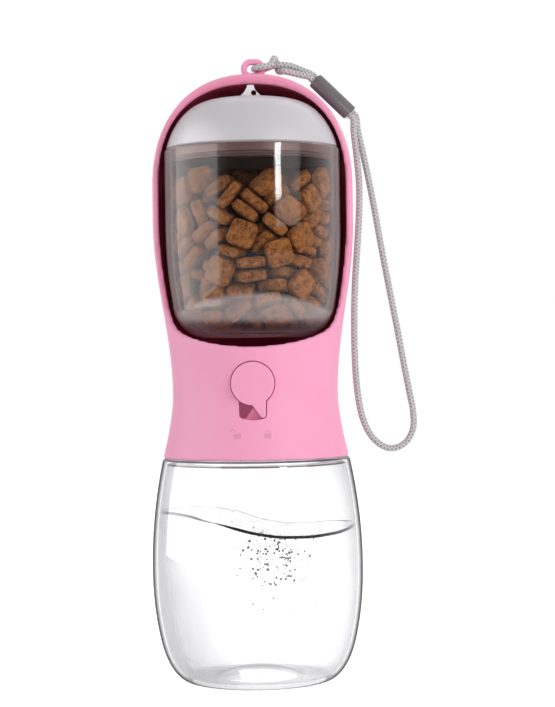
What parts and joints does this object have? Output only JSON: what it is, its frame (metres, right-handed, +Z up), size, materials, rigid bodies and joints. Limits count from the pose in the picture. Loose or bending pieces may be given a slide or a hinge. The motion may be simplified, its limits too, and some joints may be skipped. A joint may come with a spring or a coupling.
{
  "type": "pet travel water bottle",
  "caption": "Two-in-one pet travel bottle: screw-on clear water bottle, drinking trough with a lock-and-press valve, lidded food cup held in the trough, and a wrist lanyard.",
  "frame": {"origin": "centre of the bottle's base, on the surface that the bottle stands on", "axes": "+Z up along the bottle's axis; the food cup, the trough's opening and the button face -Y; the wrist loop hangs on the +X side"},
  "size_m": [0.0974, 0.077, 0.2287],
  "materials": {
    "pink_plastic": "smooth satin moulded ABS",
    "clear_bottle": "clear polished PC",
    "clear_cup": "clear, lightly smoked polished PC",
    "lid_plastic": "smooth light grey PP",
    "white_plastic": "natural white PP",
    "silicone": "translucent silicone",
    "steel": "stainless steel",
    "cord": "braided light grey polyester cord",
    "slider_plastic": "satin grey moulded slider"
  },
  "bodies": {
    "body": {"body_shell": "pink_plastic", "valve_block": "white_plastic", "valve_screws": "steel", "outlet_seal": "silicone", "thread_collar": "white_plastic", "gland_ring": "white_plastic", "return_spring": "steel", "lanyard_hitch": "cord", "lanyard_loop": "cord", "cord_slider": "slider_plastic"},
    "gasket": {"bottle_gasket": "silicone"},
    "bottle": {"water_bottle": "clear_bottle"},
    "plunger": {"plunger": "white_plastic", "front_o_ring": "silicone", "valve_o_ring": "silicone", "knob_clip": "steel"},
    "knob": {"lock_knob": "pink_plastic"},
    "cup": {"food_cup": "clear_cup"},
    "lid": {"cup_lid": "lid_plastic", "lid_seal": "silicone", "latch_pin": "steel"},
    "latch": {"lid_latch": "white_plastic"}
  },
  "joints": [
    {"name": "bottle_drop", "type": "slide", "parent": "body", "child": "gasket", "axis": [0, 0, -1], "range_m": [0, 0.006]},
    {"name": "bottle_turn", "type": "hinge", "parent": "gasket", "child": "bottle", "pos_m": [0, 0, 0.085], "axis": [0, 0, -1], "range_deg": [0, 540]},
    {"name": "button_press", "type": "slide", "parent": "body", "child": "plunger", "axis": [0, 1, 0], "range_m": [0, 0.0035], "stiffness_N_per_m": 400, "springref_m": -0.003, "deforming": ["return_spring"]},
    {"name": "lock_turn", "type": "hinge", "parent": "plunger", "child": "knob", "pos_m": [0, -0.029, 0.1089], "axis": [0, 1, 0], "range_deg": [0, 35]},
    {"name": "cup_pull", "type": "slide", "parent": "body", "child": "cup", "axis": [0, -1, 0], "range_m": [0, 0.062]},
    {"name": "lid_turn", "type": "hinge", "parent": "cup", "child": "lid", "pos_m": [0, 0, 0.194], "axis": [0, 0, 1], "range_deg": [0, 30]},
    {"name": "latch_tilt", "type": "hinge", "parent": "lid", "child": "latch", "pos_m": [0, -0.0075, 0.2107], "axis": [-1, 0, 0], "range_deg": [0, 12]}
  ],
  "couplings": [
    {"joint": "bottle_drop", "follows": "bottle_turn", "m_per_rad": 0.00063661}
  ]
}
